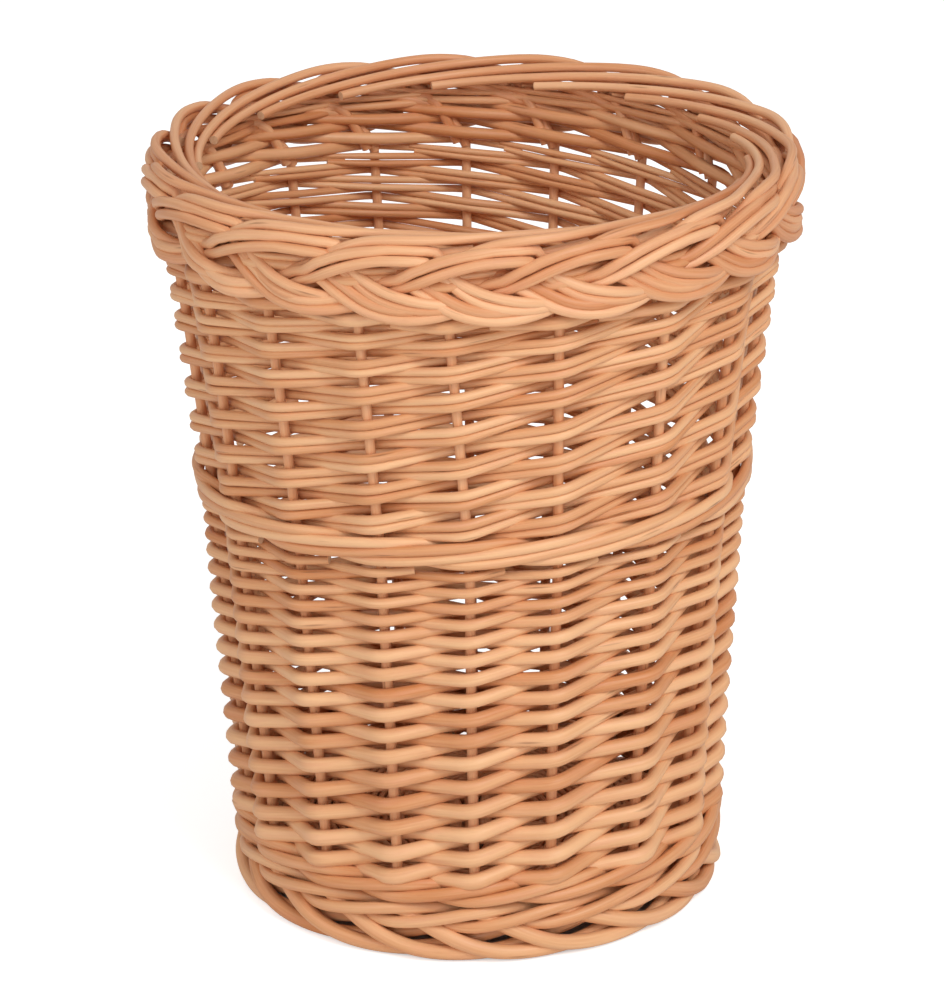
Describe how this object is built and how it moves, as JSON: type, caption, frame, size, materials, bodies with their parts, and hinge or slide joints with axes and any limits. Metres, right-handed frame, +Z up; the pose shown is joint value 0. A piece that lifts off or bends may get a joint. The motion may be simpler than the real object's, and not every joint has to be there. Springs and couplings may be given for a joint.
{
  "type": "wicker storage basket",
  "caption": "Open round basket of woven willow rods with flared sides, a raised middle band, a plaited rim and a flat foot border.",
  "frame": {"origin": "centre of the foot border at the floor", "axes": "+Z up along the basket's axis; -Y towards the side the picture shows; the basket has no front of its own"},
  "size_m": [0.3036, 0.3038, 0.3598],
  "materials": {
    "stake_willow": "satin peeled willow",
    "weaver_willow": "satin peeled willow",
    "stout_willow": "satin peeled willow"
  },
  "bodies": {
    "root": {"side_stake_01": "stake_willow", "side_stake_02": "stake_willow", "side_stake_03": "stake_willow", "side_stake_04": "stake_willow", "side_stake_05": "stake_willow", "side_stake_06": "stake_willow", "side_stake_07": "stake_willow", "side_stake_08": "stake_willow", "side_stake_09": "stake_willow", "side_stake_10": "stake_willow", "side_stake_11": "stake_willow", "side_stake_12": "stake_willow", "side_stake_13": "stake_willow", "side_stake_14": "stake_willow", "side_stake_15": "stake_willow", "side_stake_16": "stake_willow", "side_stake_17": "stake_willow", "side_stake_18": "stake_willow", "foot_border": "stout_willow", "upsett_wale_rod_01": "stout_willow", "upsett_wale_rod_02": "stout_willow", "upsett_wale_rod_03": "stout_willow", "upsett_wale_rod_04": "stout_willow", "lower_siding_rod_01": "weaver_willow", "lower_siding_rod_02": "weaver_willow", "lower_siding_rod_03": "weaver_willow", "lower_siding_rod_04": "weaver_willow", "lower_siding_rod_05": "weaver_willow", "lower_siding_rod_06": "weaver_willow", "lower_siding_rod_07": "weaver_willow", "lower_siding_rod_08": "weaver_willow", "lower_siding_rod_09": "weaver_willow", "lower_siding_rod_10": "weaver_willow", "lower_siding_rod_11": "weaver_willow", "lower_siding_rod_12": "weaver_willow", "middle_wale_rod_01": "stout_willow", "middle_wale_rod_02": "stout_willow", "middle_wale_rod_03": "stout_willow", "upper_siding_rod_01": "weaver_willow", "upper_siding_rod_02": "weaver_willow", "upper_siding_rod_03": "weaver_willow", "upper_siding_rod_04": "weaver_willow", "upper_siding_rod_05": "weaver_willow", "upper_siding_rod_06": "weaver_willow", "upper_siding_rod_07": "weaver_willow", "upper_siding_rod_08": "weaver_willow", "upper_siding_rod_09": "weaver_willow", "border_strand_01": "stake_willow", "border_strand_02": "stake_willow", "border_strand_03": "stake_willow", "base_weave": "weaver_willow", "base_stick_under_01": "stout_willow", "base_stick_under_02": "stout_willow", "base_stick_under_03": "stout_willow", "base_stick_under_04": "stout_willow", "base_stick_over_01": "stout_willow", "base_stick_over_02": "stout_willow", "base_stick_over_03": "stout_willow", "base_stick_over_04": "stout_willow"}
  },
  "joints": []
}
